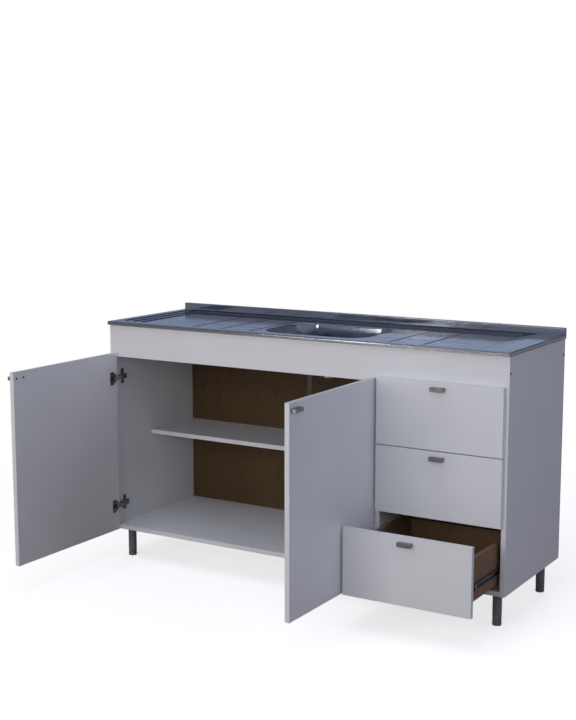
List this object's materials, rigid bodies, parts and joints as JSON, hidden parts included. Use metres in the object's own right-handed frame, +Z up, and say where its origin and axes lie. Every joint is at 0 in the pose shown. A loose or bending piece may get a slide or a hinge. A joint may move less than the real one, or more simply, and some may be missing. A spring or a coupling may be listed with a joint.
{
  "type": "kitchen sink unit",
  "caption": "Floor-standing kitchen sink unit: pressed steel draining sink top over a white board cabinet on legs, with two hinged doors and a bank of drawers",
  "frame": {"origin": "On the floor, in the middle between the front and rear legs and between the two sides", "axes": "+X along the front to the right, +Y to the wall, +Z up"},
  "size_m": [1.5, 0.998, 0.875],
  "materials": {
    "white_board": "white melamine face, satin",
    "brown_board": "brown melamine face, satin",
    "brown_hardboard": "brown printed hardboard, matte",
    "batten_wood": "raw board",
    "sink_steel": "polished to a fine grain",
    "drain_steel": "polished",
    "drain_nut_plastic": "moulded",
    "leg_plastic": "smooth moulded",
    "foot_plastic": "smooth moulded",
    "white_plastic": "smooth moulded",
    "hinge_nickel": "dark nickel plate",
    "slide_zinc": "zinc plate",
    "handle_grey": "satin grey",
    "screw_zinc": "zinc plate"
  },
  "bodies": {
    "cabinet": {"side_panel_left": "white_board", "side_panel_right": "white_board", "partition": "white_board", "bottom_panel": "white_board", "front_apron": "white_board", "rear_rail": "white_board", "shelf": "white_board", "back_panels": "brown_hardboard", "sink_deck": "sink_steel", "sink_bowl": "sink_steel", "drain_strainer": "drain_steel", "drain_locknut": "drain_nut_plastic", "sink_battens": "batten_wood", "legs": "leg_plastic", "leg_caps": "white_plastic", "back_joint_strip": "white_plastic", "hinge_plates": "hinge_nickel", "hinge_arms": "hinge_nickel", "slide_channels": "slide_zinc", "cabinet_fixings": "screw_zinc"},
    "foot_front_left": {"foot_front_left": "foot_plastic"},
    "foot_rear_left": {"foot_rear_left": "foot_plastic"},
    "foot_front_centre": {"foot_front_centre": "foot_plastic"},
    "foot_rear_centre": {"foot_rear_centre": "foot_plastic"},
    "foot_front_right": {"foot_front_right": "foot_plastic"},
    "foot_rear_right": {"foot_rear_right": "foot_plastic"},
    "left_links": {"left_hinge_links": "hinge_nickel"},
    "left_door": {"left_door": "white_board", "left_door_handle": "handle_grey", "left_door_screws": "screw_zinc", "left_hinge_cups": "hinge_nickel"},
    "right_links": {"right_hinge_links": "hinge_nickel"},
    "right_door": {"right_door": "white_board", "right_door_handle": "handle_grey", "right_door_screws": "screw_zinc", "right_hinge_cups": "hinge_nickel"},
    "bottom_drawer": {"bottom_drawer_front": "white_board", "bottom_drawer_sides": "brown_board", "bottom_drawer_back": "brown_board", "bottom_drawer_base": "brown_hardboard", "bottom_drawer_handle": "handle_grey", "bottom_drawer_handle_screws": "screw_zinc", "bottom_drawer_runners": "slide_zinc"},
    "bottom_cages": {"bottom_drawer_ball_cages": "slide_zinc"},
    "middle_drawer": {"middle_drawer_front": "white_board", "middle_drawer_sides": "brown_board", "middle_drawer_back": "brown_board", "middle_drawer_base": "brown_hardboard", "middle_drawer_handle": "handle_grey", "middle_drawer_handle_screws": "screw_zinc", "middle_drawer_runners": "slide_zinc"},
    "middle_cages": {"middle_drawer_ball_cages": "slide_zinc"},
    "top_drawer": {"top_drawer_front": "white_board", "top_drawer_sides": "brown_board", "top_drawer_back": "brown_board", "top_drawer_base": "brown_hardboard", "top_drawer_handle": "handle_grey", "top_drawer_handle_screws": "screw_zinc", "top_drawer_runners": "slide_zinc"},
    "top_cages": {"top_drawer_ball_cages": "slide_zinc"}
  },
  "joints": [
    {"name": "foot_front_left_turn", "type": "hinge", "parent": "cabinet", "child": "foot_front_left", "pos_m": [-0.702, -0.185, 0.02], "axis": [0, 0, 1], "continuous": true},
    {"name": "foot_rear_left_turn", "type": "hinge", "parent": "cabinet", "child": "foot_rear_left", "pos_m": [-0.702, 0.185, 0.02], "axis": [0, 0, 1], "continuous": true},
    {"name": "foot_front_centre_turn", "type": "hinge", "parent": "cabinet", "child": "foot_front_centre", "pos_m": [0, -0.185, 0.02], "axis": [0, 0, 1], "continuous": true},
    {"name": "foot_rear_centre_turn", "type": "hinge", "parent": "cabinet", "child": "foot_rear_centre", "pos_m": [0, 0.185, 0.02], "axis": [0, 0, 1], "continuous": true},
    {"name": "foot_front_right_turn", "type": "hinge", "parent": "cabinet", "child": "foot_front_right", "pos_m": [0.702, -0.185, 0.02], "axis": [0, 0, 1], "continuous": true},
    {"name": "foot_rear_right_turn", "type": "hinge", "parent": "cabinet", "child": "foot_rear_right", "pos_m": [0.702, 0.185, 0.02], "axis": [0, 0, 1], "continuous": true},
    {"name": "left_link_swing", "type": "hinge", "parent": "cabinet", "child": "left_links", "pos_m": [-0.70052, -0.23309, 0.4245], "axis": [0, 0, 1], "range_deg": [-18.71, 0]},
    {"name": "left_door_swing", "type": "hinge", "parent": "left_links", "child": "left_door", "pos_m": [-0.718, -0.25, 0.4245], "axis": [0, 0, 1], "range_deg": [0, 108.71]},
    {"name": "right_link_swing", "type": "hinge", "parent": "cabinet", "child": "right_links", "pos_m": [0.27852, -0.23309, 0.4245], "axis": [0, 0, -1], "range_deg": [-18.71, 0]},
    {"name": "right_door_swing", "type": "hinge", "parent": "right_links", "child": "right_door", "pos_m": [0.296, -0.25, 0.4245], "axis": [0, 0, -1], "range_deg": [0, 108.71]},
    {"name": "bottom_drawer_slide", "type": "slide", "parent": "cabinet", "child": "bottom_drawer", "axis": [0, -1, 0], "range_m": [-0.209, 0.041]},
    {"name": "bottom_cage_roll", "type": "slide", "parent": "cabinet", "child": "bottom_cages", "axis": [0, -1, 0], "range_m": [-0.1045, 0.0205]},
    {"name": "middle_drawer_slide", "type": "slide", "parent": "cabinet", "child": "middle_drawer", "axis": [0, -1, 0], "range_m": [0, 0.25]},
    {"name": "middle_cage_roll", "type": "slide", "parent": "cabinet", "child": "middle_cages", "axis": [0, -1, 0], "range_m": [0, 0.125]},
    {"name": "top_drawer_slide", "type": "slide", "parent": "cabinet", "child": "top_drawer", "axis": [0, -1, 0], "range_m": [0, 0.25]},
    {"name": "top_cage_roll", "type": "slide", "parent": "cabinet", "child": "top_cages", "axis": [0, -1, 0], "range_m": [0, 0.125]}
  ],
  "couplings": [
    {"joint": "left_link_swing", "follows": "left_door_swing", "ratio": -0.17209},
    {"joint": "right_link_swing", "follows": "right_door_swing", "ratio": -0.17209},
    {"joint": "bottom_cage_roll", "follows": "bottom_drawer_slide", "ratio": 0.5},
    {"joint": "middle_cage_roll", "follows": "middle_drawer_slide", "ratio": 0.5},
    {"joint": "top_cage_roll", "follows": "top_drawer_slide", "ratio": 0.5}
  ]
}
